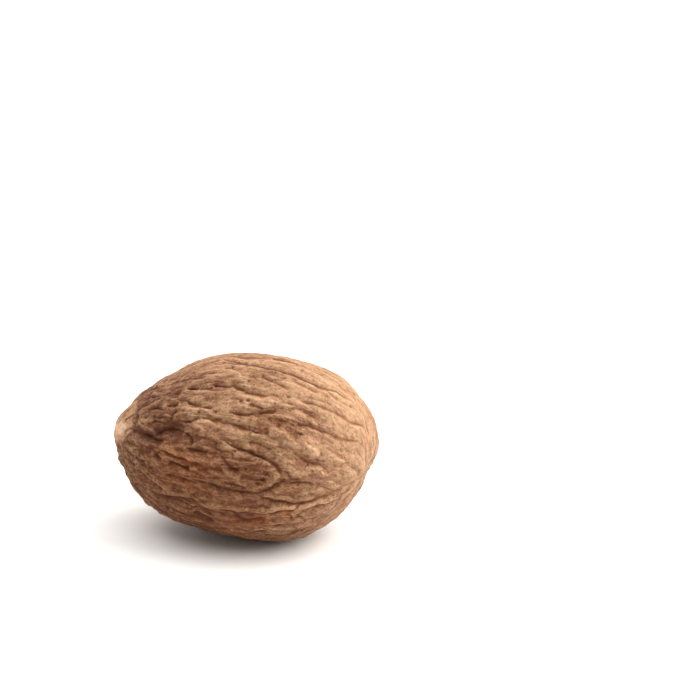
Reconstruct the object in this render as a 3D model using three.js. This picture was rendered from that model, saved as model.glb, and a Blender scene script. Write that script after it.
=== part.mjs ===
// A whole nutmeg, the dried kernel of the fruit: one closed solid.
// Millimetres, +Z up. The long axis runs along X, with the hilum (the pale scar
// where the kernel hung) at -X and the blunt end at +X. The origin is the middle
// of the outline on the surface it rests on.
import * as THREE from "three";
import { mergeVertices } from "three/addons/utils/BufferGeometryUtils.js";

// ---- driving dimensions ----
const halfLength = 12.75;
const halfWidth = 8.9;
const halfHeight = 9.0;
const taper = 0.103; // how much fatter the blunt end is than the hilum end
const fullness = -0.011;
const bend = 0.466; // the ends sit this much higher than the waist
const pitch = 2.2; // degrees, the blunt end lifted as it lies
const restHeight = 8.75; // centre of the body above the surface it lies on
const footFade = 1.0; // the relief dies away over this height above the foot

const segmentsAlong = 26; // grid cells in a quarter turn along the body
const segmentsAround = 34; // and around it

// Where the grain gathers: the two poles of the furrows lean off the long axis.
const hilumLean = new THREE.Vector3(0, -0.25, 0.1);
const bluntLean = new THREE.Vector3(0, -0.28, -0.22);

// Places on the surface are given as station and bearing, both in degrees.
// Station runs from 0 at the hilum to 180 at the blunt end. Bearing turns about
// the long axis: 0 faces -Y, 90 is the top, 180 faces +Y and -90 is underneath.

// Broad swells and flats, with a spread and a height in millimetres.
const swells = [
  { station: 12, bearing: 105, spread: 2.0, height: 0.42 }, // the hilum's boss
  { station: 46, bearing: 124, spread: 3.0, height: -0.16 },
  { station: 76, bearing: 122, spread: 4.2, height: 0.32 },
  { station: 112, bearing: 128, spread: 3.2, height: -0.2 },
  { station: 149, bearing: 148, spread: 3.0, height: 0.34 },
  { station: 164, bearing: -150, spread: 3.6, height: -0.52 },
  { station: 116, bearing: -82, spread: 3.0, height: 0.18 },
  { station: 84, bearing: -74, spread: 5.0, height: -0.28 },
  { station: 48, bearing: -77, spread: 3.0, height: 0.3 },
  { station: 10, bearing: -110, spread: 2.2, height: -0.16 },
  { station: 138, bearing: 137, spread: 2.6, height: -0.2 },
  { station: 27, bearing: 132, spread: 1.4, height: -0.25 }, // the neck behind the boss
];

// The main furrows of the wrinkled side: routes in [station, bearing], then depth
// and, for the broad ones, half width in mm.
const namedFurrows = [
  // crown
  {
    route: [[81, 110], [86, 104], [97, 100], [120, 97], [126, 98], [130, 102], [134, 103], [139, 106]],
    depth: 0.4,
  },
  { route: [[67, 80], [81, 76]], depth: 0.36 }, // above the hilum hollow
  // upper rib
  { route: [[78, 82], [82, 79], [87, 78], [90, 79], [97, 75], [104, 74], [113, 77]], depth: 0.42 },
  // upper rib, blunt half
  { route: [[117, 79], [125, 79], [139, 85], [144, 88], [148, 96], [151, 108]], depth: 0.34 },
  { route: [[95, 88], [102, 88], [115, 82]], depth: 0.28 }, // between the ribs
  { route: [[61, 71], [73, 63], [82, 60]], depth: 0.3 },
  { route: [[63, 50], [68, 49], [76, 53], [95, 49], [109, 45]], depth: 0.42, width: 0.5 }, // long rib
  { route: [[89, 58], [97, 58], [108, 62], [111, 62]], depth: 0.32 }, // above the long rib
  // fork, blunt end
  { route: [[118, 62], [122, 60], [143, 64], [149, 69], [153, 76], [159, 90]], depth: 0.36 },
  { route: [[85, 39], [96, 33], [103, 31], [115, 25], [120, 16]], depth: 0.4 }, // over the panel
  // under the panel
  { route: [[120, 16], [120, 12], [103, -1], [74, 1], [70, -2], [58, -1], [53, -3]], depth: 0.42 },
  { route: [[120, 10], [131, 11], [142, 8], [154, -2]], depth: 0.42 }, // behind the panel
  // under the bright ridge
  { route: [[119, 43], [131, 32], [135, 31], [140, 31], [145, 29]], depth: 0.3, width: 0.8 },
  // hollow by the hilum
  { route: [[25, 47], [33, 39], [40, 34], [46, 31], [52, 31]], depth: 0.75, width: 0.55 },
  // hollow above the hook
  { route: [[45, 36], [49, 41], [55, 43], [61, 43], [66, 40]], depth: 1, width: 0.7 },
  { route: [[65, 41], [69, 38], [70, 34], [71, 29]], depth: 0.4 }, // hook
  { route: [[67, 28], [71, 27], [75, 26.5], [80, 26]], depth: 0.44 }, // slot that it ends in
  { route: [[39, 51], [44, 52], [49, 51], [54, 48]], depth: 0.34 },
  { route: [[58, 47], [58, 54], [61, 62]], depth: 0.3 },
  { route: [[49, 22], [57, 18], [63, 17], [70, 16], [77, 17]], depth: 0.36, width: 0.4 }, // rusty band
  { route: [[55, 12], [62, 11], [69, 10]], depth: 0.5 }, // slot under it
  { route: [[86, 25], [88, 24], [92, 18], [95, 17], [97, 20]], depth: 0.3 }, // curl
  { route: [[96, 12], [104, 11], [111, 12]], depth: 0.42, width: 0.55 }, // pit in the panel
  { route: [[90, 4], [94, 5], [101, 2]], depth: 0.3 },
  // low fold
  {
    route: [[42, -33], [49, -33], [58, -25], [67, -20], [71, -20], [74, -25], [78, -26], [83, -24]],
    depth: 0.44, width: 0.6,
  },
  { route: [[91, -24], [96, -30], [101, -31], [110, -26]], depth: 0.5, width: 0.7 }, // under the arch
  // right of the arch
  { route: [[105, 0], [112, -6], [122, -10], [132, -12], [143, -9], [152, -5]], depth: 0.42 },
  // foot line
  { route: [[96, -46], [104, -39], [108, -40], [112, -45], [118, -47], [129, -48]], depth: 0.34 },
  { route: [[68, -34], [72, -38], [79, -42]], depth: 0.8, width: 0.6 }, // pocket under the low fold
  { route: [[31, 101], [33, 67], [30, 57], [26, 49]], depth: 0.2 }, // round the hilum
];

// The other sides: lanes of furrows that run on round the back and underneath.
// A pair is the least and the most of what is drawn at random.
const lanes = {
  start: 112, // bearing of the first lane
  end: 304,
  step: 9.5,
  swing: 3.2, // degrees of bearing that a furrow wanders
  swingPace: 13, // degrees of station for each radian of that
  swingShare: [0.5, 1],
  stride: 11, // degrees of station between the points of a route
  firstStation: [24, 40],
  lastStart: 138, // no furrow starts past this station
  lastEnd: [150, 160],
  length: [26, 62], // in degrees of station
  drift: [-0.09, 0.09], // bearing gained for each degree of station
  gap: [-6, 5], // from the end of one furrow to the start of the next
  depth: [0.24, 0.42],
  seed: 4127,
};

// Short furrows that gather at both ends.
const rays = {
  spacing: 23,
  lean: [-7, 7],
  ends: [
    [17, 25, [32, 44], 0.2], // three stations and the depth
    [171, 160, [138, 150], 0.1],
  ],
};

const furrowWidth = 0.5; // half width in mm, where a furrow gives none
const furrowShape = 1.6; // how square its section is
const fadeRate = 6; // how fast it deepens from both ends
const pointsPerStretch = 6;

const shell = new THREE.MeshStandardMaterial({ color: 0xa9805f, roughness: 0.74, metalness: 0 });

const radians = THREE.MathUtils.degToRad;

function direction(station, bearing) {
  const s = radians(station);
  const b = radians(bearing);
  const across = Math.sin(s);
  const grain = new THREE.Vector3(-Math.cos(s), -across * Math.cos(b), across * Math.sin(b));
  const hilumShare = (1 - grain.x) / 2;
  return grain
    .addScaledVector(hilumLean, hilumShare)
    .addScaledVector(bluntLean, 1 - hilumShare)
    .normalize();
}

// The smooth egg, with its waist slightly bent.
function bodyPoint(n) {
  const girth = 1 + taper * n.x + fullness * n.x * n.x;
  const rise = bend * (n.x * n.x - 1 / 3);
  return new THREE.Vector3(halfLength * n.x, halfWidth * n.y * girth, halfHeight * n.z * girth + rise);
}

function outward(n) {
  return new THREE.Vector3(n.x / halfLength, n.y / halfWidth, n.z / halfHeight).normalize();
}

function seededRandom(seed) {
  let state = seed;
  return () => {
    state = (state * 16807) % 2147483647;
    return state / 2147483647;
  };
}

// Furrows for the sides away from the named ones, by lanes, and the rays at both ends.
function laneFurrows() {
  const random = seededRandom(lanes.seed);
  const between = ([low, high]) => low + (high - low) * random();
  const furrows = [];
  for (let lane = lanes.start; lane <= lanes.end; lane += lanes.step) {
    let station = between(lanes.firstStation);
    while (station < lanes.lastStart) {
      const end = Math.min(station + between(lanes.length), between(lanes.lastEnd));
      const drift = between(lanes.drift);
      const turn = between([0, 2 * Math.PI]);
      const route = [];
      for (let s = station; s <= end; s += lanes.stride) {
        const sway = lanes.swing * Math.sin(turn + s / lanes.swingPace) * between(lanes.swingShare);
        route.push([s, lane + sway + drift * (s - station)]);
      }
      if (route.length > 2) furrows.push({ route, depth: between(lanes.depth) });
      station = end + between(lanes.gap);
    }
  }
  for (let bearing = 0; bearing < 360; bearing += rays.spacing) {
    const leaning = bearing + between(rays.lean);
    for (const [first, second, last, depth] of rays.ends) {
      furrows.push({ route: [[first, bearing], [second, leaning], [between(last), bearing]], depth });
    }
  }
  return furrows;
}

function furrowLine({ route, depth, width = furrowWidth }) {
  const spline = new THREE.SplineCurve(route.map((place) => new THREE.Vector2(...place)));
  const points = spline.getPoints(pointsPerStretch * (route.length - 1));
  return { depth, width, points: points.map(({ x, y }) => bodyPoint(direction(x, y))) };
}

const furrowLines = [...namedFurrows, ...laneFurrows()].map(furrowLine);
const swellCentres = swells.map((swell) => bodyPoint(direction(swell.station, swell.bearing)));

function grooveDepth(point) {
  let deepest = 0;
  const segment = new THREE.Line3();
  const nearest = new THREE.Vector3();
  for (const { points, depth, width } of furrowLines) {
    for (let i = 0; i < points.length - 1; i++) {
      segment.set(points[i], points[i + 1]);
      const share = segment.closestPointToPointParameter(point, true);
      const distance = segment.at(share, nearest).distanceTo(point);
      const along = (i + share) / (points.length - 1);
      const fade = Math.min(1, fadeRate * along * (1 - along));
      const section = Math.exp(-((distance / width) ** furrowShape));
      deepest = Math.max(deepest, depth * fade * section);
    }
  }
  return deepest;
}

function swellHeight(point) {
  return swells.reduce((sum, { spread, height }, i) => {
    const distance = point.distanceTo(swellCentres[i]);
    return sum + height * Math.exp(-((distance / spread) ** 2));
  }, 0);
}

// From a direction to the finished surface, as the nutmeg lies.
function surfacePoint(n) {
  const body = bodyPoint(n);
  const side = outward(n);
  const lift = new THREE.Vector3(0, 0, restHeight);
  const tip = new THREE.Vector3(0, -1, 0);
  const lie = (p) => p.applyAxisAngle(tip, radians(pitch)).add(lift);
  const smooth = lie(body.clone().addScaledVector(side, swellHeight(body)));
  const relief = grooveDepth(body) * THREE.MathUtils.smoothstep(smooth.z, 0, footFade);
  const point = lie(body.clone().addScaledVector(side, swellHeight(body) - relief));
  point.z = Math.max(point.z, 0); // the small flat that it stands on
  return point;
}

// An even grid: the cells of a box, spread by equal angles and pushed out to the surface.
function nutmegGeometry() {
  const box = new THREE.BoxGeometry(2, 2, 2, segmentsAlong, segmentsAround, segmentsAround);
  box.deleteAttribute("normal");
  box.deleteAttribute("uv");
  const geometry = mergeVertices(box, 1e-5);
  const position = geometry.getAttribute("position");
  const even = (side) => Math.tan((side * Math.PI) / 4);
  const n = new THREE.Vector3();
  for (let i = 0; i < position.count; i++) {
    n.fromBufferAttribute(position, i);
    n.set(even(n.x), even(n.y), even(n.z)).normalize();
    const { x, y, z } = surfacePoint(n);
    position.setXYZ(i, x, y, z);
  }
  geometry.computeBoundingBox();
  const middle = geometry.boundingBox.getCenter(new THREE.Vector3());
  geometry.translate(-middle.x, -middle.y, 0);
  geometry.computeVertexNormals();
  return geometry;
}

const nutmeg = new THREE.Mesh(nutmegGeometry(), shell);
nutmeg.name = "nutmeg";

const part = new THREE.Group();
part.add(nutmeg);

export default part;
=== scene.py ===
# A whole nutmeg lying on pale paper. The skin is a fine mesh made here on the same egg,
# swells and furrows as the solid, with the small wrinkles, crests and pits added to it.
import math
import random
import bmesh
import bpy
import numpy as np
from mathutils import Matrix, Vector, noise


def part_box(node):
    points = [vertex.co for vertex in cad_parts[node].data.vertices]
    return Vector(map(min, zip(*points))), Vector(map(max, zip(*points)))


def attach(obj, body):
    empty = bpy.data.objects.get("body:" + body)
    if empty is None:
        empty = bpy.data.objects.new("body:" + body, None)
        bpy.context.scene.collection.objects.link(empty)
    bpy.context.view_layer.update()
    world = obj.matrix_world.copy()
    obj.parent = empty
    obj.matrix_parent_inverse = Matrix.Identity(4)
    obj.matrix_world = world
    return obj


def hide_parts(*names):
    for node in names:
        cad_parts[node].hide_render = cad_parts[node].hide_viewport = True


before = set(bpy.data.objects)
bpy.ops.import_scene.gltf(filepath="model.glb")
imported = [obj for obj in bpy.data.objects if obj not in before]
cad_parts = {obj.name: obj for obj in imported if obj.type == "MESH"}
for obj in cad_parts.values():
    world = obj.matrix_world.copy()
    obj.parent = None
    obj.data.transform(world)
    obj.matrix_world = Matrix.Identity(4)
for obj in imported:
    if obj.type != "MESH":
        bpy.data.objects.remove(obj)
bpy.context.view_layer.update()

mm = 0.001  # everything below is in millimetres until it meets Blender
noise.seed_set(5)  # unset, noise vectors change from run to run


def linear(hexColour):
    # sRGB hex to the linear values a shader wants
    channels = [int(hexColour[i:i + 2], 16) / 255 for i in (1, 3, 5)]
    curve = [c / 12.92 if c <= 0.04045 else ((c + 0.055) / 1.055) ** 2.4 for c in channels]
    return (*curve, 1.0)


kernel = {
    "halfLength": 12.75, "halfWidth": 8.9, "halfHeight": 9.0,
    "taper": 0.103,  # the blunt end is this much fatter
    "fullness": -0.011,  # below 0 both ends are slimmer
    "bend": 0.466,  # ends higher than the waist
    "pitch": 2.2,  # degrees, blunt end up
    "restHeight": 8.75,  # body centre above the floor
    "footFade": 1.0,  # relief dies away over this height
    "hilumLean": (0, -0.25, 0.1),  # the furrows gather this far off the axis at the hilum
    "bluntLean": (0, -0.28, -0.22),  # and this far at the blunt end
    "cells": 128,  # grid cells in a quarter turn: 0.12 mm on the surface
    "perRadian": 10.9,  # mm of surface for each radian of station, about
}

# station 0 at the hilum, 180 at the blunt end; bearing 0 faces -Y, 90 the top
# (station, bearing, spread mm, height mm)
swells = [
    (12, 105, 2.0, 0.42),  # the hilum's boss
    (46, 124, 3.0, -0.16), (76, 122, 4.2, 0.32), (112, 128, 3.2, -0.2),
    (149, 148, 3.0, 0.34), (164, -150, 3.6, -0.52), (116, -82, 3.0, 0.18),
    (84, -74, 5.0, -0.28), (48, -77, 3.0, 0.3), (10, -110, 2.2, -0.16),
    (138, 137, 2.6, -0.2), (27, 132, 1.4, -0.25),
]

# routes in (station, bearing), then depth and half width in mm; the solid has these too
mainFurrows = [
    # crown
    ([(81, 110), (86, 104), (97, 100), (120, 97), (126, 98), (130, 102), (134, 103), (139, 106)], 0.4),
    ([(67, 80), (81, 76)], 0.36),  # above the hilum hollow
    ([(78, 82), (82, 79), (87, 78), (90, 79), (97, 75), (104, 74), (113, 77)], 0.42),  # upper rib
    ([(117, 79), (125, 79), (139, 85), (144, 88), (148, 96), (151, 108)], 0.34),  # its blunt half
    ([(95, 88), (102, 88), (115, 82)], 0.28),  # between the ribs
    ([(61, 71), (73, 63), (82, 60)], 0.3),
    ([(63, 50), (68, 49), (76, 53), (95, 49), (109, 45)], 0.42, 0.5),  # long rib
    ([(89, 58), (97, 58), (108, 62), (111, 62)], 0.32),  # above the long rib
    ([(118, 62), (122, 60), (143, 64), (149, 69), (153, 76), (159, 90)], 0.36),  # fork, blunt end
    ([(85, 39), (96, 33), (103, 31), (115, 25), (120, 16)], 0.4),  # over the panel
    ([(120, 16), (120, 12), (103, -1), (74, 1), (70, -2), (58, -1), (53, -3)], 0.42),  # under the panel
    ([(120, 10), (131, 11), (142, 8), (154, -2)], 0.42),  # behind the panel
    ([(119, 43), (131, 32), (135, 31), (140, 31), (145, 29)], 0.3, 0.8),  # under the bright ridge
    ([(25, 47), (33, 39), (40, 34), (46, 31), (52, 31)], 0.75, 0.55),  # hollow by the hilum
    ([(45, 36), (49, 41), (55, 43), (61, 43), (66, 40)], 1.0, 0.7),  # hollow above the hook
    ([(65, 41), (69, 38), (70, 34), (71, 29)], 0.4),  # hook
    ([(67, 28), (71, 27), (75, 26.5), (80, 26)], 0.44),  # slot that it ends in
    ([(39, 51), (44, 52), (49, 51), (54, 48)], 0.34),
    ([(58, 47), (58, 54), (61, 62)], 0.3),
    ([(49, 22), (57, 18), (63, 17), (70, 16), (77, 17)], 0.36, 0.4),  # rusty band
    ([(55, 12), (62, 11), (69, 10)], 0.5),  # slot under it
    ([(86, 25), (88, 24), (92, 18), (95, 17), (97, 20)], 0.3),  # curl
    ([(96, 12), (104, 11), (111, 12)], 0.42, 0.55),  # pit in the panel
    ([(90, 4), (94, 5), (101, 2)], 0.3),
    # low fold
    ([(42, -33), (49, -33), (58, -25), (67, -20), (71, -20), (74, -25), (78, -26), (83, -24)],
     0.44, 0.6),
    ([(91, -24), (96, -30), (101, -31), (110, -26)], 0.5, 0.7),  # under the arch
    ([(105, 0), (112, -6), (122, -10), (132, -12), (143, -9), (152, -5)], 0.42),  # right of the arch
    ([(96, -46), (104, -39), (108, -40), (112, -45), (118, -47), (129, -48)], 0.34),  # foot line
    ([(68, -34), (72, -38), (79, -42)], 0.8, 0.6),  # purple slot
    ([(31, 101), (33, 67), (30, 57), (26, 49)], 0.2),  # round the hilum
]

# finer ones, only in the skin
fineFurrows = [
    ([(72, 104), (80, 105)], 0.22), ([(73, 99), (81, 101), (92, 99), (98, 96)], 0.2),
    ([(84, 96), (92, 94)], 0.24), ([(111, 93), (118, 90), (122, 90), (125, 92)], 0.2),
    ([(121, 82), (133, 88)], 0.2), ([(125, 97), (131, 96), (137, 98), (142, 105)], 0.2),
    ([(37, 92), (56, 76), (62, 74)], 0.24), ([(37, 76), (42, 76), (47, 74)], 0.24),
    ([(41, 66), (46, 67), (55, 60)], 0.26), ([(33, 60), (55, 54)], 0.24),
    ([(48, 91), (54, 82), (59, 78), (64, 78)], 0.26), ([(44, 106), (52, 93), (58, 91), (63, 93)], 0.22),
    ([(54, 67), (58, 65), (62, 66)], 0.3), ([(98, 66), (106, 64)], 0.3), ([(44, -21), (50, -20)], 0.26),
    ([(34, 24), (45, 19), (50, 19)], 0.26), ([(45, 16), (51, 12)], 0.3),
    ([(30, -61), (36, -41), (41, -38)], 0.24), ([(72, 12), (76, 12), (80, 14)], 0.26),
    ([(20, 0), (23, -11), (28, -20), (32, -22)], 0.22), ([(97, -24), (107, -21)], 0.28),
    ([(84, -22), (92, -23), (95, -27), (98, -33)], 0.34),
    ([(91, -25), (98, -21), (109, -21), (117, -19), (125, -19), (128, -15)], 0.34),
    ([(122, -19), (124, -26), (124, -35)], 0.3),
    ([(127, -28), (132, -22), (144, -20), (156, -22)], 0.32),
    ([(135, -39), (140, -42), (145, -43)], 0.26),
    ([(129, -24), (132, -40)], 0.24), ([(124, -53), (129, -55), (135, -60)], 0.24),
    ([(62, -37), (65, -39), (67, -39)], 0.28), ([(64, -25), (66, -29), (70, -28), (74, -22)], 0.26),
    ([(50, -47), (62, -47), (69, -43), (75, -45), (82, -45)], 0.26),
    ([(120, 22), (123, 20), (125, 15), (131, 14)], 0.24), ([(136, 34), (139, 44)], 0.24),
    ([(142, 24), (156, 9)], 0.2), ([(135, 55), (139, 57), (143, 56)], 0.2),
    ([(109, 37), (113, 37), (116, 39)], 0.22), ([(153, 34), (155, 41), (159, 46)], 0.2),
    ([(135, 0), (144, -7)], 0.2),
]

# raised lips and ridges: route, then height and half width in mm
crests = [
    ([(110, 47), (114, 49), (117, 48), (123, 44), (133, 43), (139, 38)], 0.62, 0.5),  # bright ridge
    ([(104, 59), (116, 61), (123, 59)], 0.22),
    ([(99, 45), (117, 40)], 0.2, 0.45),  # lip of the long rib
    ([(96, 30), (111, 26), (113, 23), (117, 14), (114, 10), (111, 7)], 0.2, 0.4),  # lip of the panel
    ([(79, 41), (84, 39), (96, 31)], 0.18),
    ([(117, 28), (125, 23), (128, 20), (133, 24), (139, 25), (146, 18), (155, 2)], 0.34, 0.4),  # zigzag
    # lip of the low fold
    ([(44, -30), (57, -21), (70, -15), (74, -20), (84, -18), (91, -20)], 0.36, 0.26),
    ([(89, -21), (97, -17), (109, -17), (117, -14.5), (125, -15.5), (127, -11)], 0.4, 0.26),  # arch
    ([(125, -24), (131, -17.5), (144, -15.5), (157, -18)], 0.4, 0.26),
    ([(100, -43), (107, -40), (114, -42), (122, -47), (135, -45)], 0.34),
    ([(46, 43), (51, 45), (58, 45), (66, 41), (71, 43)], 0.2),
    ([(32, 60), (56, 50)], 0.18),
    ([(34, 66), (39, 70), (50, 74), (55, 74), (61, 72)], 0.18),
    ([(41, 86), (46, 87), (52, 82)], 0.16),
    ([(44, 120), (50, 100), (55, 91), (64, 95)], 0.16),
    ([(65, 77), (70, 77), (75, 76), (79, 73), (81, 69)], 0.18),
    ([(49, 20), (57, 15), (65, 11)], 0.18),
    ([(48, 27), (57, 23), (63, 21), (70, 20), (78, 20)], 0.34),  # rusty band's lip
    ([(85, 94), (96, 81)], 0.16),
    ([(44, -12), (50, -17), (56, -14)], 0.18),
    ([(104, 69), (105, 66), (110, 71), (118, 70)], 0.18),
    ([(125, -52), (131, -52), (137, -59)], 0.16),
    ([(9, -14), (13, -49), (21, -43), (27, -47)], 0.16),
]

# small dark pits: (station, bearing, depth mm)
pits = [
    (59, 64, 0.35), (79, 27, 0.45), (67, 11, 0.5), (110, 12, 0.5), (47, 14, 0.4), (125, 52, 0.35),
    (138, 35, 0.3), (95, 53, 0.35), (109, 58, 0.3), (101, 90, 0.3), (96, 84, 0.25), (108, 96, 0.25),
    (89, 108, 0.3), (114, 33, 0.3), (102, 39, 0.3), (84, 34, 0.3), (103, 32, 0.35), (93, 28, 0.35),
    (100, 19, 0.3), (116, -36, 0.35), (107, -31, 0.35), (126, -3, 0.3), (136, 4, 0.3), (138, -3, 0.3),
    (106, -26, 0.35), (83, 58, 0.3), (68, 66, 0.35), (128, 63, 0.3), (133, -13, 0.3), (70, -28, 0.35),
    (78, -30, 0.35), (42, -4, 0.3), (33, 8, 0.3),
]

# the other sides, in lanes round the back and underneath; pairs are the least and most drawn
lanes = {
    "start": 112, "end": 304, "step": 9.5,  # bearings
    "swing": 3.2,  # degrees that a furrow wanders
    "swingPace": 13,  # degrees of station for each radian of that
    "swingShare": (0.5, 1),
    "stride": 11,  # degrees of station between points
    "firstStation": (24, 40), "lastStart": 138, "lastEnd": (150, 160),
    "length": (26, 62),  # degrees of station
    "drift": (-0.09, 0.09),  # bearing gained for each degree of station
    "gap": (-6, 5),  # from one's end to the next one's start; below 0 they overlap
    "depth": (0.24, 0.42),  # mm
    "seed": 4127,
}

# short ones that gather at both ends
rays = {
    "spacing": 23, "lean": (-7, 7),  # bearings
    "ends": [(17, 25, (32, 44), 0.2), (171, 160, (138, 150), 0.1)],  # three stations and mm deep
}

# what the skin scatters between those: short fine furrows, crests and pits
scatter = {"stations": (25, 150), "points": 3, "stride": 7, "stray": 2,  # a short line, in degrees
           "pitStations": (30, 150), "pitDepth": (0.25, 0.45)}
farSide = {"bearings": (112, 308), "slope": 0.7, "fine": 70, "depth": (0.18, 0.3),
           "crests": 45, "height": (0.08, 0.15), "pits": 60, "seed": 88}
nearSide = {"bearings": (-75, 115), "slope": 0.35, "fine": 110, "depth": (0.1, 0.22),
            "crests": 20, "height": (0.06, 0.1), "pits": 50, "seed": 31}


def unit(v):
    return v / np.linalg.norm(v, axis=-1, keepdims=True)


def grainLean(v):
    # how far the poles of the grain pull a direction off the axis
    hilumShare = (1 - v[..., :1]) / 2
    return hilumShare * kernel["hilumLean"] + (1 - hilumShare) * kernel["bluntLean"]


def direction(station, bearing):
    s, b = np.radians(station), np.radians(bearing)
    grain = np.stack([-np.cos(s), -np.sin(s) * np.cos(b), np.sin(s) * np.sin(b)], axis=-1)
    return unit(grain + grainLean(grain))


def bodyPoint(n):
    # the plain egg, along X round its own middle
    x, y, z = n[..., 0], n[..., 1], n[..., 2]
    girth = 1 + kernel["taper"] * x + kernel["fullness"] * x * x
    rise = kernel["bend"] * (x * x - 1 / 3)
    return np.stack([kernel["halfLength"] * x, kernel["halfWidth"] * y * girth,
                     kernel["halfHeight"] * z * girth + rise], axis=-1)


def outward(n):
    # which way the egg's surface faces
    return unit(n / (kernel["halfLength"], kernel["halfWidth"], kernel["halfHeight"]))


def lie(p):
    # tips the body onto its side's resting spot
    c, s = math.cos(math.radians(kernel["pitch"])), math.sin(math.radians(kernel["pitch"]))
    x, y, z = p[..., 0], p[..., 1], p[..., 2]
    return np.stack([x * c - z * s, y, z * c + x * s + kernel["restHeight"]], axis=-1)


def laneFurrows():
    # lane by lane round the far side, then the short ones at the ends
    state = lanes["seed"]
    factor, modulus = 16807, 2147483647  # Park and Miller's, so the draws are the solid's

    def between(low, high):
        nonlocal state
        state = state * factor % modulus
        return low + (high - low) * state / modulus

    furrows = []
    lane = lanes["start"]
    while lane <= lanes["end"]:
        station = between(*lanes["firstStation"])
        while station < lanes["lastStart"]:
            end = min(station + between(*lanes["length"]), between(*lanes["lastEnd"]))
            drift = between(*lanes["drift"])
            turn = between(0, 2 * math.pi)
            route = []
            s = station
            while s <= end:
                sway = lanes["swing"] * math.sin(turn + s / lanes["swingPace"])
                sway *= between(*lanes["swingShare"])
                route.append((s, lane + sway + drift * (s - station)))
                s += lanes["stride"]
            if len(route) > 2:
                furrows.append((route, between(*lanes["depth"])))
            station = end + between(*lanes["gap"])
        lane += lanes["step"]
    for bearing in range(0, 360, rays["spacing"]):
        leaning = bearing + between(*rays["lean"])
        for first, second, last, depth in rays["ends"]:
            furrows.append(([(first, bearing), (second, leaning), (between(*last), bearing)], depth))
    return furrows


def scattered(side):
    # fine furrows, crests and pits strewn over one side, the same in every run
    draw = random.Random(side["seed"])
    stray = scatter["stray"]

    def short(amount):
        station, bearing = draw.uniform(*scatter["stations"]), draw.uniform(*side["bearings"])
        slope = draw.uniform(-side["slope"], side["slope"])
        route = []
        for i in range(scatter["points"]):
            step = scatter["stride"] * i
            route.append((station + step, bearing + step * slope + draw.uniform(-stray, stray)))
        return route, draw.uniform(*amount)

    fine = [short(side["depth"]) for _ in range(side["fine"])]
    raised = [short(side["height"]) for _ in range(side["crests"])]
    dots = [(draw.uniform(*scatter["pitStations"]), draw.uniform(*side["bearings"]),
             draw.uniform(*scatter["pitDepth"])) for _ in range(side["pits"])]
    return fine, raised, dots


def splinePoints(route, perStretch=10):
    # Catmull-Rom through the route, its ends repeated
    p = np.array([route[0], *route, route[-1]], dtype=float)
    t = np.arange(perStretch)[:, None] / perStretch
    pieces = []
    for a, b, c, d in zip(p, p[1:], p[2:], p[3:]):
        v0, v1 = (c - a) / 2, (d - b) / 2
        cubic, square = 2 * b - 2 * c + v0 + v1, 3 * c - 3 * b - 2 * v0 - v1
        pieces.append(cubic * t ** 3 + square * t ** 2 + v0 * t + b)
    return np.concatenate([*pieces, p[-1:]])


def nearLine(points, route, reach):
    # for the points within reach of a route: their rows, their offsets to it, how far along it
    path = splinePoints(route)
    line = bodyPoint(direction(path[:, 0], path[:, 1]))
    low, high = line.min(axis=0) - reach, line.max(axis=0) + reach
    rows = np.flatnonzero(((points > low) & (points < high)).all(axis=1))
    a, ab = line[:-1], np.diff(line, axis=0)
    share = np.einsum("vsk,sk->vs", points[rows, None] - a, ab) / (ab ** 2).sum(-1)
    share = share.clip(0, 1)
    offsets = a + share[..., None] * ab - points[rows, None]
    pick = (np.arange(len(rows)), (offsets ** 2).sum(-1).argmin(axis=1))
    return rows, offsets[pick], (pick[1] + share[pick]) / len(a)


groove = {
    "depthScale": 0.8, "crestScale": 1.1, "pitScale": 0.6,  # how much of a named size is cut or raised
    "usual": 0.4,  # mm, depth of a furrow whose valley has the usual width
    "wall": 0.32,  # mm, half width of the open valley of a furrow that names none
    "wallShape": 1.6, "crestShape": 1.5,  # 2 is a round section, 1 a pointed one
    "crack": 0.16,  # mm, the sharp line at its bottom
    "crackShare": 0.38,
    "crackReach": 0.3,  # mm, how far off its colour is looked for
    "crackFrom": 0.03,  # mm, shallower ones have no dark line
    "lipAt": 0.62, "lipWidth": 0.25, "lipShare": 0.12,  # mm, mm, share: the lip that stands beside it
    "crest": 0.3, "pit": 0.16,  # mm, half widths
    "paleTop": 0.18, "paleWidth": 0.24,  # mm, height of a crest that is painted fully pale, partly rubbed and partly a painted highlight, and half width
    "ragged": [(0.9, 0.13), (0.35, 0.039)],  # edges stray: mm between bends, mm off the line
    "uneven": (1.5, 0.5),  # mm over which the depth comes and goes, and how much
    "endFade": 6,  # the more, the shorter the ends fade
    "darkFrom": 0.43,  # mm, broad ones deeper than this get painted shade
    "shadeWidth": 0.95,  # of the valley's half width
    "reach": 2.0,  # mm, beyond this a furrow does nothing
}


def wavering(p, bends):
    # an offset at p, summed over (size mm, amount mm)
    return sum((by * noise.noise_vector(p / size) for size, by in bends), Vector())


def tapering(along):
    # 1 along a route, dying away to both its ends
    return np.minimum(1, groove["endFade"] * along * (1 - along))


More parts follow.
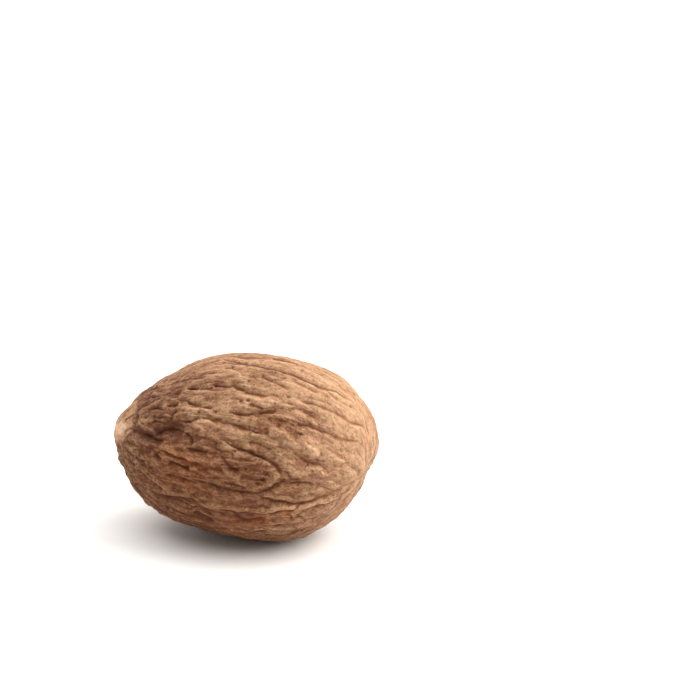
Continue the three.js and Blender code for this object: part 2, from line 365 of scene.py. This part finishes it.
def namedRelief(body):
    # height in mm from furrows, crests and pits; what the colours need to know of them, and the
    # offset from every vertex to the nearest crack
    g = groove
    depth, rise, strength, valley, lipped, pitted = (np.zeros(len(body)) for _ in range(6))
    offset = np.zeros_like(body)
    ragged = body + [wavering(Vector(p), g["ragged"]) for p in body]
    patch, swing = g["uneven"]
    uneven = 1 + swing * np.array([noise.noise(Vector(p) / patch) for p in body])
    extraFine, extraCrests, extraPits = (a + b for a, b in zip(scattered(farSide), scattered(nearSide)))
    for route, deep, *wide in mainFurrows + laneFurrows() + fineFurrows + extraFine:
        rows, away, along = nearLine(ragged, route, g["reach"])
        gap = np.linalg.norm(away, axis=1)
        deepHere = g["depthScale"] * deep * uneven[rows] * tapering(along)
        wall = wide[0] if wide else g["wall"] * math.sqrt(deep / g["usual"])
        basin = np.exp(-(gap / wall) ** g["wallShape"])
        section = g["crackShare"] * np.exp(-gap / g["crack"]) + (1 - g["crackShare"]) * basin
        depth[rows] = np.maximum(depth[rows], deepHere * section)
        if wide and deep > g["darkFrom"]:
            # painted shade along the broad valleys
            paintedValleyShade = deepHere / g["usual"] * np.exp(-(gap / (g["shadeWidth"] * wall)) ** 2)
            valley[rows] = np.maximum(valley[rows], paintedValleyShade)
        lip = g["lipShare"] * np.exp(-((gap - g["lipAt"]) / g["lipWidth"]) ** 2)
        rise[rows] = np.maximum(rise[rows], deepHere * lip)
        here = deepHere * np.exp(-gap / g["crackReach"])
        won = here > strength[rows]
        strength[rows[won]], offset[rows[won]] = here[won], away[won]
    for route, high, *wide in crests + extraCrests:
        rows, away, along = nearLine(ragged, route, g["reach"])
        gap = np.linalg.norm(away, axis=1)
        highHere = g["crestScale"] * high * uneven[rows] * tapering(along)
        crestWidth = wide[0] if wide else g["crest"]
        rise[rows] = np.maximum(rise[rows], highHere * np.exp(-(gap / crestWidth) ** g["crestShape"]))
        # crest tops painted pale: partly rubbed, partly a painted highlight
        rubbedAndLit = highHere / g["paleTop"] * np.exp(-(gap / g["paleWidth"]) ** 2)
        lipped[rows] = np.maximum(lipped[rows], rubbedAndLit)
    for station, bearing, deep in pits + extraPits:
        gap = np.linalg.norm(ragged - bodyPoint(direction(station, bearing)), axis=1)
        pitted = np.maximum(pitted, deep * np.exp(-(gap / g["pit"]) ** 2))
    crackDepth = strength * np.exp(np.linalg.norm(offset, axis=1) / g["crackReach"])  # at its bottom
    looks = {
        "crackDepth": crackDepth * (strength > g["crackFrom"]),
        "pit": pitted / g["usual"], "valley": valley, "lip": lipped,
    }
    looks = {name: values.clip(0, 1) for name, values in looks.items()}
    return rise - depth - g["pitScale"] * pitted, looks, offset


wrinkles = {
    "stretch": 2.6,  # wrinkles run this much longer than wide
    "warp": [(2.6, 0.7), (0.9, 0.28)],  # the grain wanders: mm between bends, mm off its way
    # rounded ones: mm between creases, mm deep
    "folds": [(2.6, 0.38), (1.2, 0.22), (0.62, 0.11), (0.36, 0.05)],
    "broad": (2.6, 0.42),  # all that is left of them where the skin is calm
    "streaks": [(0.5, 0.1)], "streakStretch": 2,  # fine straight ones, longer again by this
    "lumps": [(1.3, 0.06)], "lumpBend": 0.3,  # rounder bumps on them, and mm that they wander
    "ridges": [(1.9, 0.17), (0.95, 0.14), (0.55, 0.07)],  # thin crests where the skin is crumpled
    "ridgePatch": (1.9, 0.55, 1.6),  # mm that they come and go over, how much there is, how sudden
    "ridgeShift": 5.1,  # keeps those patches off the folds
    "ridgeEdge": 3.2,  # the more, the thinner
    "granule": (0.3, 0.03),  # coarse skin
    "crease": (0.0012, 0.035),  # how round the bottom of a crease is, and the rise to take off for it
    "shift": (11.3, 3.1, 7.7),  # keeps the sizes from lining up
    # shares
    "namedShare": 0.35,  # folds are this much lower where the named furrows are
    "crumpleLoss": 0.4,  # lumps where the skin is crumpled
    "scarLoss": 0.5,  # wrinkles on the scar
    "calmLoss": 0.5,  # named furrows where it is calm
    "crumpleLeast": 0.25, "calmMost": 0.7,
    "frontLeast": 0.6, "frontFade": (0.3, 1.2),  # the named side, against the others
    # a hollow lies this many mm below the relief round it, which is blurred this many times
    "hollowDepth": 0.06, "hollowRounds": 20,
}

# patches of the coat: (station, bearing, spread mm, amount)
patches = {
    "calm": [  # smoother
        (141, 140, 2.5, 0.6), (150, 75, 6.0, 0.35), (158, 0, 4.5, 0.4), (120, 112, 4.5, 0.45),
        (150, -60, 5.0, 0.5), (20, 80, 3.0, 0.4), (60, 112, 4.0, 0.35), (85, 118, 4.0, 0.3),
        (117, -25, 4.5, 0.4), (138, -3, 3.5, 0.35), (82, -48, 4.5, 0.35), (112, -55, 4.5, 0.35),
        (88, -8, 3.5, 0.3), (168, 90, 5.0, 0.4), (168, -20, 5.0, 0.3), (60, -60, 3.5, 0.2),
    ],
    "crumple": [  # shrunk most
        (45, 20, 7.0, 0.9), (60, -35, 7.0, 1.0), (110, -25, 5.0, 0.6), (130, 50, 4.0, 0.3),
        (100, 10, 3.5, 0.35), (60, 70, 5.0, 0.35), (50, 200, 8.0, 0.8), (110, 230, 8.0, 0.6),
        (140, 160, 5.0, 0.3), (60, 280, 7.0, 0.8), (130, 300, 5.0, 0.4),
    ],
    "pale": [
        # broad areas, lighter towards the blunt end: partly the coat's tone, partly painted light and
        # shade
        (146, 75, 6.5, 0.6), (118, 104, 5.5, 0.6), (80, 108, 4.0, 0.3), (150, 5, 5.0, 0.5),
        (40, 25, 6.5, -0.75), (122, 62, 4.0, -1.0), (62, -30, 7.0, -0.9), (95, 10, 5.0, -0.6),
        (110, -30, 5.0, -0.2), (128, 25, 4.5, -0.4), (142, -5, 4.0, -0.2), (108, -72, 3.5, 0.4),
        (50, 95, 4.0, 0.2), (60, 220, 9.0, -0.5), (110, 280, 8.0, -0.5),
        # painted highlights on the tops of ribs and folds
        (86, 48, 1.4, 0.6), (98, 45, 1.3, 0.6), (126, 44, 2.0, 0.4), (122, -8, 2.5, 0.35),
        (100, -44, 1.6, 0.4), (74, 56, 1.3, 1.0), (87, 55, 1.1, 0.8), (117, 40, 1.1, 1.0),
        (118, 72, 1.2, 0.8), (103, 71, 1.3, 0.6), (33, 48, 1.3, 1.0), (89, 27, 1.0, 0.8),
        (75, 25, 1.2, 0.6), (26, -6, 1.5, 0.7), (86, -52, 1.4, 0.7), (143, -70, 2.0, 0.7),
        (174, 95, 1.6, 0.6), (62, 58, 1.2, 0.6), (123, 23, 1.2, 0.5), (142, 17, 1.0, 0.3),
        (112, 84, 1.2, 0.6), (111, 48, 1.0, 0.5), (134, 42, 1.2, 0.4), (145, 35, 1.2, 0.5),
        (145, -1, 1.0, 0.5), (130, 119, 2.0, 0.5),
        # painted shade in hollows, and on the shoulders that run down to them
        (56, 42, 2.0, -0.7), (59, 30, 1.3, -0.6), (36, 92, 1.8, -1.0), (70, -33, 2.2, -0.9),
        (84, 41, 1.1, -0.8), (105, 98, 2.2, -0.5), (102, 87, 1.5, -0.5), (117, 101, 1.3, -0.4),
        (80, 77, 1.1, -0.6), (86, 110, 2.0, -0.4), (117, 54, 1.0, -0.8), (147, 24, 1.2, -0.9),
        (135, 28, 1.2, -0.5), (33, 84, 1.2, -0.6), (66, 90, 1.4, -0.6), (129, 67, 1.0, -0.2),
        (106, 56, 1.0, -0.6), (123, 7, 1.1, -0.6), (153, -15, 1.2, -0.5),
    ],
    "tip": [(11, 74, 0.8, 0.9), (16, 58, 0.7, 0.7), (22, 51, 0.5, 0.4)],  # painted highlight where the scar's pale end catches the light
    "rust": [  # along the rusty band, then here and there
        (51, 22, 0.7, 0.6), (57, 19, 0.7, 1.0), (63, 18.5, 0.8, 1.0), (69, 18, 0.8, 0.9),
        (76, 18, 0.8, 0.5), (66, 1, 1.0, 0.6), (74, 1, 1.0, 0.5), (55, -3, 1.0, 0.5),
        (44, 24, 1.5, 0.2), (66, -42, 3.0, 0.2), (84, 20, 1.2, 0.3), (88, -43, 2.0, 0.3),
        (100, -31, 1.4, 0.5), (107, -27, 1.2, 0.5),
        (124, -20, 0.9, 0.9), (75, 200, 5.0, 0.25), (120, 250, 4.0, 0.3), (60, 150, 3.0, 0.2),
    ],
}

hilum = {
    "station": 16, "bearing": 97,
    "radius": 2.4, "edge": 0.3, "rise": 0.06, "dimple": 0.14, "dimpleRadius": 1.0,  # mm
}


def grainPlace(n):
    # a stretched space whose first axis runs with the grain, in mm
    g = unit(n - grainLean(n))
    station = np.arccos((-g[:, 0]).clip(-1, 1))
    across = kernel["halfWidth"] * np.sqrt(np.sin(station).clip(0.02, 1))  # never 0, even at the poles
    ring = unit(g[:, 1:] + 1e-9)  # never 0 / 0 there
    along = station * kernel["perRadian"]
    return np.column_stack([along / wrinkles["stretch"], ring * across[:, None]])


def folded(q, width):
    # 0 in thin winding creases, rounded and up to about 0.6 between them
    roundness, rise = wrinkles["crease"]
    height = noise.noise(q / width + Vector(wrinkles["shift"]) * width)
    return math.sqrt(height * height + roundness) - rise


def wrinkleHeights(place, body, crumple, front, calm):
    heights = np.empty(len(place))
    w = wrinkles
    granuleWidth, granuleDepth = w["granule"]
    broadWidth, broadDepth = w["broad"]
    patch, cover, sudden = w["ridgePatch"]
    for i, (p, b, rough, named, still) in enumerate(zip(place, body, crumple, front, calm)):
        q, b = Vector(p), Vector(b)
        q += wavering(q, w["warp"])
        height = sum(depth * folded(q, width) for width, depth in w["folds"])
        height *= 1 - w["namedShare"] * named
        along = Vector((q.x / w["streakStretch"], q.y, q.z))
        height += sum(depth * folded(along, width) for width, depth in w["streaks"])
        bent = b + w["lumpBend"] * noise.noise_vector(b)
        lumps = sum(depth * folded(bent, width) for width, depth in w["lumps"])
        height += (1 - w["crumpleLoss"] * rough) * lumps
        for width, rise in w["ridges"]:
            here = cover + sudden * noise.noise(b / patch + Vector((w["ridgeShift"], 0, width)))
            top = max(0, 1 - w["ridgeEdge"] * folded(q, width)) ** 2
            height += rise * rough * min(1, max(0, here)) * top
        height += granuleDepth * noise.noise(b / granuleWidth)
        heights[i] = (1 - still) * height + still * broadDepth * folded(q, broadWidth)
    return heights


def blurred(values, edges, rounds):
    # mixes each vertex with its neighbours
    own = 0.4  # share it keeps of its own value each round
    count = np.bincount(edges.ravel(), minlength=len(values))
    for _ in range(rounds):
        total = np.bincount(edges[:, 0], values[edges[:, 1]], len(values)) \
            + np.bincount(edges[:, 1], values[edges[:, 0]], len(values))
        values = own * values + (1 - own) * total / count
    return values


def spots(body, rows):
    # soft round patches, summed
    total = np.zeros(len(body))
    for station, bearing, spread, amount in rows:
        centre = bodyPoint(direction(station, bearing))
        total += amount * np.exp(-((body - centre) ** 2).sum(-1) / spread ** 2)
    return total


def nutmegMesh():
    # a cube's grid blown up to a ball, so that it has no poles, then shaped
    form = bmesh.new()
    bmesh.ops.create_cube(form, size=2)
    bmesh.ops.subdivide_edges(form, edges=form.edges[:], cuts=kernel["cells"] - 1, use_grid_fill=True)
    mesh = bpy.data.meshes.new("nutmegSkin")
    form.to_mesh(mesh)
    form.free()

    corner = np.empty(len(mesh.vertices) * 3)
    mesh.vertices.foreach_get("co", corner)
    edges = np.empty(len(mesh.edges) * 2, dtype=int)
    mesh.edges.foreach_get("vertices", edges)
    edges = edges.reshape(-1, 2)
    n = unit(np.tan(corner.reshape(-1, 3) * math.pi / 4))  # equal angles, so even cells
    body, side = bodyPoint(n), outward(n)
    w = wrinkles

    print("kernel: furrows")
    named, namedLooks, crackOffset = namedRelief(body)
    print("kernel: wrinkles")
    place = grainPlace(n)
    frontStart, frontSlope = w["frontFade"]
    front = (frontStart - frontSlope * side[:, 1]).clip(w["frontLeast"], 1)
    crumple = (w["crumpleLeast"] + spots(body, patches["crumple"])).clip(0, 1)
    calm = spots(body, patches["calm"]).clip(0, w["calmMost"])
    wrinkle = wrinkleHeights(place, body, crumple, front, calm)
    wrinkle -= wrinkle.mean()
    named *= 1 - w["calmLoss"] * calm

    swell = spots(body, swells)
    scar = np.linalg.norm(body - bodyPoint(direction(hilum["station"], hilum["bearing"])), axis=1)
    scarCap = 1 / (1 + np.exp((scar - hilum["radius"]) / hilum["edge"]))  # 1 on the scar, 0 off it
    swell += hilum["rise"] * scarCap - hilum["dimple"] * np.exp(-(scar / hilum["dimpleRadius"]) ** 2)
    wrinkle *= 1 - w["scarLoss"] * scarCap

    smooth = lie(body + side * swell[:, None])
    foot = (smooth[:, 2] / kernel["footFade"]).clip(0, 1)
    foot = foot * foot * (3 - 2 * foot)  # eased: 0 on the floor, 1 above the fade
    relief = (wrinkle + named) * foot
    # how far each vertex lies below the blurred relief round it; the painted shade in hollows and the
    # paler crests are drawn from it
    hollow = (blurred(relief, edges, w["hollowRounds"]) - relief) / w["hollowDepth"]
    points = lie(body + side * (swell + relief)[:, None])
    points[:, 2] = points[:, 2].clip(0)
    cadLow, cadHigh = (np.array(c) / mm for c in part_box("nutmeg"))
    middle = (points.min(axis=0) + points.max(axis=0)) / 2
    points[:, :2] += ((cadLow + cadHigh) / 2 - middle)[:2]  # over the middle of the solid

    mesh.vertices.foreach_set("co", (points * mm).ravel())
    mesh.polygons.foreach_set("use_smooth", [True] * len(mesh.polygons))
    looks = {
        **namedLooks, "hollow": hollow.clip(-2, 2), "scar": scarCap,
        "tip": spots(body, patches["tip"]), "pale": spots(body, patches["pale"]).clip(-1, 1),
        "rust": spots(body, patches["rust"]).clip(0, 1),
    }
    for name, values in looks.items():
        mesh.attributes.new(name, "FLOAT", "POINT").data.foreach_set("value", values)
    for name, values in {"grain": place, "surface": body, "crackOffset": crackOffset}.items():
        mesh.attributes.new(name, "FLOAT_VECTOR", "POINT").data.foreach_set("vector", values.ravel())
    mesh.update()
    return mesh


skin = {
    # clouds of noise: mm across a blotch, detail, roughness
    "clouds": {
        "drift": (1.1, 3.0, 0.5), "crackStray": (0.3, 3.0, 0.5),  # how grain and cracks wander
        "longLine": (1.1, 1.0, 0.5), "shortLine": (0.5, 1.0, 0.5),
        "crackle": (0.8, 2.0, 0.5), "pores": (0.9, 2.0, 0.5),  # stretches that have them
        "crackWidth": (0.65, 4.0, 0.7), "valley": (0.5, 3.0, 0.5),
        "blotch": (2.6, 3.0, 0.5), "greyed": (0.65, 5.0, 0.7), "rust": (0.65, 4.0, 0.6),
        "pink": (0.45, 4.0, 0.6), "olive": (0.5, 4.0, 0.6),
        "scarEdge": (0.8, 4.0, 0.7), "tipEdge": (0.5, 4.0, 0.7),
        # real grit is a tenth of a mm, too fine to show
        "grit": (0.22, 3.0, 0.5), "fibre": (0.32, 4.0, 0.6),
    },
    "strays": {"drift": 1.4, "crackStray": 0.12},  # mm
    "poreGap": 0.42, "poreEdge": (0.04, 0.12),  # mm; real pores are half as wide, too fine to show
    # ramps: an input from, to, and what comes out there; a cloud's levels are about 0.25 to 0.75
    "ramps": {
        "longLine": (0, 0.025, 1, 0), "shortLine": (0, 0.035, 1, 0),
        "crackle": (0.42, 0.56, 0, 1), "pores": (0.42, 0.58, 0, 1),
        "crackWidth": (0.35, 0.65, 0.072, 0.288),  # half width in mm
        "crackDepth": (0, 0.26, 0, 0.95), "crackInRust": (0.3, 1, 1, 0.5),
        "tan": (-1, 1, 0, 1), "blotch": (0, 1, -0.5, 0.5), "greyed": (0.45, 0.75, 0, 0.4),
        "pink": (0.48, 0.66, 0, 0.5), "olive": (0.5, 0.32, 0, 0.5), "rust": (0.3, 0.55, 0, 1),
        "coarse": (-0.5, 0.8, 1.25, 0.45),  # how gritty it is where it is dark, and where pale
        "grit": (0, 1, 0, 0.4), "fibre": (0, 1, 0, 0.6),
        "speck": (0.51, 0.66, 0, 1), "fleck": (0.48, 0.28, 0, 0.55),
        "standing": (0, -1.6, 0, 0.7), "wornAndLit": (0.7, 0.4, 0, 1), "shade": (0.1, -1.1, 0, 1),
        "scarEdge": (0, 1, -0.8, 0.8), "scar": (0.4, 0.7, 0, 0.85),
        "tipEdge": (0, 1, -0.7, 0.7), "tip": (0, 0.8, 0, 1),
        "valley": (0.3, 0.6, 0.55, 1), "valleyInRust": (0, 1.2, 1, 0.2), "hollow": (0, 2, 0, 0.7),
        "line": (-0.8, 0.1, 0.75, 0.42), "crackPale": (-0.4, 0.6, 0, 1),
        "roughness": (0.3, 0.8, 0.62, 0.82),
    },
    # shares
    "lipShare": 0.75, "poreShare": 0.75, "pitShare": 0.35, "hollowDull": 0.15,
    # heights in mm
    "gritHigh": 0.16, "crackleDeep": 0.02, "poreDeep": 0.05, "crackDeep": 0.03,
    "colours": {
        # hollow, valley and the crack's colours paint shade in the wrinkles, shade darkens the shaded
        # side, and the palest ones are partly painted highlights on crests and the scar's tip
        "tan": "#AC8662", "brown": "#784629", "greyed": "#84604D", "pink": "#BC8770",
        "olive": "#A38A5A", "rust": "#A5581A", "speck": "#6E4026", "fleck": "#CBA17B",
        "wornAndLit": "#C9A17C", "shade": "#D2C3AE", "scar": "#B5865F", "scarLitPale": "#EBC09C",
        "hollow": "#5F2D0B", "valley": "#4E2206", "line": "#582A0A", "pore": "#4A280E",
        "crackDark": "#48210A", "crackPale": "#85522C",
    },
    "ior": 1.46, "specular": 0.3,
}

# the nodes that draw it: kind, settings, inputs in the order they are given, output
skinNodes = {
    "value": ("ShaderNodeAttribute", {}, (), "Fac"),
    "place": ("ShaderNodeAttribute", {}, (), "Vector"),
    "cloud": ("ShaderNodeTexNoise", {}, ("Vector", "Scale", "Detail", "Roughness"), "Fac"),
    "stray": ("ShaderNodeTexNoise", {}, ("Vector", "Scale", "Detail", "Roughness"), "Color"),
    "cells": ("ShaderNodeTexVoronoi", {}, ("Vector", "Scale"), "Distance"),
    "ramp": ("ShaderNodeMapRange", {}, ("Value", "From Min", "From Max", "To Min", "To Max"), 0),
    "easedRamp": ("ShaderNodeMapRange", {"interpolation_type": "SMOOTHSTEP"},
                  ("Value", "From Min", "From Max", "To Min", "To Max"), 0),
    "mix": ("ShaderNodeMix", {"data_type": "RGBA"}, (0, 6, 7), 2),
    "shade": ("ShaderNodeMix", {"data_type": "RGBA", "blend_type": "MULTIPLY"}, (0, 6, 7), 2),
    "plus": ("ShaderNodeMath", {"operation": "ADD"}, (0, 1), 0),
    "minus": ("ShaderNodeMath", {"operation": "SUBTRACT"}, (0, 1), 0),
    "times": ("ShaderNodeMath", {"operation": "MULTIPLY"}, (0, 1), 0),
    "larger": ("ShaderNodeMath", {"operation": "MAXIMUM"}, (0, 1), 0),
    "unsigned": ("ShaderNodeMath", {"operation": "ABSOLUTE"}, (0,), 0),
    "placeMinus": ("ShaderNodeVectorMath", {"operation": "SUBTRACT"}, (0, 1), 0),
    "placeTimesPlus": ("ShaderNodeVectorMath", {"operation": "MULTIPLY_ADD"}, (0, 1, 2), 0),
    "length": ("ShaderNodeVectorMath", {"operation": "LENGTH"}, (0,), "Value"),
    "bump": ("ShaderNodeBump", {}, ("Height", "Strength", "Distance"), 0),
    "coat": ("ShaderNodeBsdfPrincipled", {},
             ("Base Color", "Roughness", "Normal", "IOR", "Specular IOR Level"), 0),
    "output": ("ShaderNodeOutputMaterial", {}, ("Surface",), None),
}


def nutmegSkin():
    # Dried nutmeg kernel, a seed coat shrunk on in the sun: dull, woody, tan on the
    # ridges and dark brown down in the wrinkles, with painted highlights and painted shade there, so
    # the eye reads every fold.
    material = bpy.data.materials.new("driedNutmegShrunkSkin")
    material.use_nodes = True
    tree = material.node_tree
    tree.nodes.clear()
    clouds = {name: (1 / size, *rest) for name, (size, *rest) in skin["clouds"].items()}
    ramps = skin["ramps"]
    colour = {name: linear(code) for name, code in skin["colours"].items()}

    def add(name, *values, **settings):
        # values: a constant for each input, or the socket to link to it
        kind, usual, inputs, output = skinNodes[name]
        node = tree.nodes.new(kind)
        for key, setting in {**usual, **settings}.items():
            setattr(node, key, setting)
        for key, value in zip(inputs, values):
            if isinstance(value, bpy.types.NodeSocket):
                tree.links.new(value, node.inputs[key])
            else:
                node.inputs[key].default_value = value
        return None if output is None else node.outputs[output]

    def spread(place, name):
        # how much of a thing there is here and there: its cloud, through its ramp
        return add("ramp", add("cloud", place, *clouds[name]), *ramps[name])

    def strayed(start, place, name):
        # start moved by up to half of the stray, in whatever direction the noise at place has
        centred = add("placeMinus", add("stray", place, *clouds[name]), (0.5, 0.5, 0.5))
        return add("placeTimesPlus", centred, [skin["strays"][name]] * 3, start)

    grain, surface, crackOffset = (
        add("place", attribute_name=name) for name in ("grain", "surface", "crackOffset"))
    crackDepth, pit, hollow, valley, lip, scar, tip, pale, rust = (
        add("value", attribute_name=name)
        for name in ("crackDepth", "pit", "hollow", "valley", "lip", "scar", "tip", "pale", "rust"))
    wander = strayed(grain, grain, "drift")

    def creases(name):
        # thin winding lines where the noise crosses its middle: 1 on the line, 0 away from it
        off = add("unsigned", add("minus", add("cloud", wander, *clouds[name]), 0.5))
        return add("ramp", off, *ramps[name])

    crackle = add("times", add("larger", creases("longLine"), creases("shortLine")),
                  spread(grain, "crackle"))

    # pores: dark dots, one or two to the square millimetre
    inner, outer = (radius / skin["poreGap"] for radius in skin["poreEdge"])
    dots = add("ramp", add("cells", surface, 1 / skin["poreGap"]), inner, outer, 1, 0)
    pore = add("times", dots, spread(surface, "pores"))

    # the crack in each furrow, sharper than the mesh can draw it; it is dented by the bump and darkened
    # with painted shade
    away = add("length", strayed(crackOffset, surface, "crackStray"))
    near = add("easedRamp", away, 0, spread(surface, "crackWidth"), 1, 0)
    crack = add("times", near, add("ramp", crackDepth, *ramps["crackDepth"]))
    crack = add("times", crack, add("ramp", rust, *ramps["crackInRust"]))

    # the coat: brown to tan, which also carries painted light and shade, then greyer, pinker, duller
    # and rusty in spots
    tint = add("plus", add("ramp", pale, *ramps["tan"]), spread(grain, "blotch"))
    base = add("mix", tint, colour["brown"], colour["tan"])
    greyer = add("mix", spread(surface, "greyed"), base, colour["greyed"])
    pinker = add("mix", spread(wander, "pink"), greyer, colour["pink"])
    duller = add("mix", spread(surface, "olive"), pinker, colour["olive"])
    rusty = add("mix", add("times", rust, spread(grain, "rust")), duller, colour["rust"])

    # dark specks and light flecks, fewer where it is pale
    gritty = add("plus", spread(surface, "grit"), spread(wander, "fibre"))
    coarse = add("ramp", pale, *ramps["coarse"])
    specks = add("times", coarse, add("ramp", gritty, *ramps["speck"]))
    speckled = add("mix", specks, rusty, colour["speck"])
    flecks = add("times", coarse, add("ramp", gritty, *ramps["fleck"]))
    flecked = add("mix", flecks, speckled, colour["fleck"])

    # paler on what stands up: partly rubbed, partly a painted highlight; then painted shade multiplied
    # in on the dark side
    standing = add("ramp", hollow, *ramps["standing"])
    rubbedAndLit = add("larger", standing, add("times", lip, skin["lipShare"]))
    rubbedAndLit = add("times", rubbedAndLit, add("ramp", gritty, *ramps["wornAndLit"]))
    wornAndLit = add("mix", rubbedAndLit, flecked, colour["wornAndLit"])
    # painted shade: the shade colour multiplied in where the coat field is dark
    darker = add("shade", add("ramp", pale, *ramps["shade"]), wornAndLit, colour["shade"])

    # the scar, pale, with a painted highlight at its tip
    tipped = add("plus", tip, spread(surface, "tipEdge"))
    scarred = add("mix", add("ramp", tipped, *ramps["tip"]), colour["scar"], colour["scarLitPale"])
    patchy = add("plus", scar, spread(surface, "scarEdge"))
    capped = add("mix", add("ramp", patchy, *ramps["scar"]), darker, scarred)

    # darkest down in the wrinkles: painted shade in broad valleys and hollows, then fine dark lines,
    # pores and pits, then the crack's painted shade
    bare = add("times", valley, add("ramp", rust, *ramps["valleyInRust"]))
    inValley = add("mix", add("times", bare, spread(wander, "valley")), capped, colour["valley"])
    inHollow = add("mix", add("ramp", hollow, *ramps["hollow"]), inValley, colour["hollow"])
    lines = add("times", crackle, add("ramp", pale, *ramps["line"]))
    inLine = add("mix", lines, inHollow, colour["line"])
    pores = add("times", pore, add("times", coarse, skin["poreShare"]))
    holes = add("larger", pores, add("times", pit, skin["pitShare"]))
    inPore = add("mix", holes, inLine, colour["pore"])
    # the crack's painted shade, darker where the coat field is dark and paler where it is light
    crackTone = add("ramp", pale, *ramps["crackPale"])
    cracked = add("mix", crackTone, colour["crackDark"], colour["crackPale"])
    inCrack = add("mix", crack, inPore, cracked)

    height = add("times", add("times", gritty, coarse), -skin["gritHigh"])
    for share, deep in ((crackle, "crackleDeep"), (pore, "poreDeep"), (crack, "crackDeep")):
        height = add("minus", height, add("times", share, skin[deep]))
    bump = add("bump", height, 1, mm)
    dull = add("plus", gritty, add("times", hollow, skin["hollowDull"]))
    roughness = add("ramp", dull, *ramps["roughness"])
    add("output", add("coat", inCrack, roughness, bump, skin["ior"], skin["specular"]))
    return material


nutmeg = bpy.data.objects.new("nutmegKernel", nutmegMesh())
bpy.context.collection.objects.link(nutmeg)
nutmeg.data.materials.append(nutmegSkin())
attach(nutmeg, "root")
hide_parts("nutmeg")
print("kernel: done")

studio = {
    "floorSize": 4.0, "floorColour": "#EDEBE8", "floorRoughness": 0.9,  # size in metres
    # (name, direction it comes from, strength, angle it fills in degrees)
    "lights": [
        ("overheadSoftbox", (0.1, 0.15, 1.0), 3.8, 95),
        ("sideWindow", (0.8, 0.22, 0.55), 3.66, 55),
        ("farLeftFill", (-0.9, 0.55, 0.35), 1.1, 60),
    ],
    "sky": 0.26,
}


def sweepFloor():
    mesh = bpy.data.meshes.new("sweep")
    h = studio["floorSize"] / 2
    mesh.from_pydata([(-h, -h, 0), (h, -h, 0), (h, h, 0), (-h, h, 0)], [], [(0, 1, 2, 3)])
    # seamless matt paper: no gloss, no grain at this size
    material = bpy.data.materials.new("mattPaperSweep")
    material.use_nodes = True
    shader = material.node_tree.nodes["Principled BSDF"]
    shader.inputs["Base Color"].default_value = linear(studio["floorColour"])
    shader.inputs["Roughness"].default_value = studio["floorRoughness"]
    mesh.materials.append(material)
    floor = bpy.data.objects.new("sweep", mesh)
    bpy.context.collection.objects.link(floor)


def lights():
    # distant and wide, so shadows are soft and the nutmeg is lit evenly
    for name, source, strength, angle in studio["lights"]:
        data = bpy.data.lights.new(name, "SUN")
        data.energy = strength
        data.angle = math.radians(angle)
        lamp = bpy.data.objects.new(name, data)
        lamp.rotation_euler = Vector(source).to_track_quat("Z", "Y").to_euler()
        bpy.context.collection.objects.link(lamp)
    world = bpy.data.worlds.new("paleRoom")
    world.use_nodes = True
    world.node_tree.nodes["Background"].inputs["Color"].default_value = (1, 1, 1, 1)
    world.node_tree.nodes["Background"].inputs["Strength"].default_value = studio["sky"]
    bpy.context.scene.world = world


shot = {
    "azimuth": 12, "elevation": 24, "distance": 300,  # degrees and mm from the kernel's middle
    "lens": 160,
    "right": 10.3, "up": 9.1,  # mm that the aim passes the middle by, so it sits low and left
}


def camera():
    az, el = math.radians(shot["azimuth"]), math.radians(shot["elevation"])
    back = Vector((math.sin(az) * math.cos(el), -math.cos(az) * math.cos(el), math.sin(el)))
    right = Vector((math.cos(az), math.sin(az), 0))
    middle = Vector((0, 0, kernel["restHeight"]))
    place = middle + back * shot["distance"]
    aim = middle + right * shot["right"] + back.cross(right) * shot["up"]
    data = bpy.data.cameras.new("camera")
    data.lens = shot["lens"]
    eye = bpy.data.objects.new("camera", data)
    eye.location = place * mm
    eye.rotation_euler = (place - aim).to_track_quat("Z", "Y").to_euler()
    bpy.context.collection.objects.link(eye)
    bpy.context.scene.camera = eye


sweepFloor()
lights()
camera()
bpy.context.scene.view_settings.view_transform = "Standard"
print("studio: done")
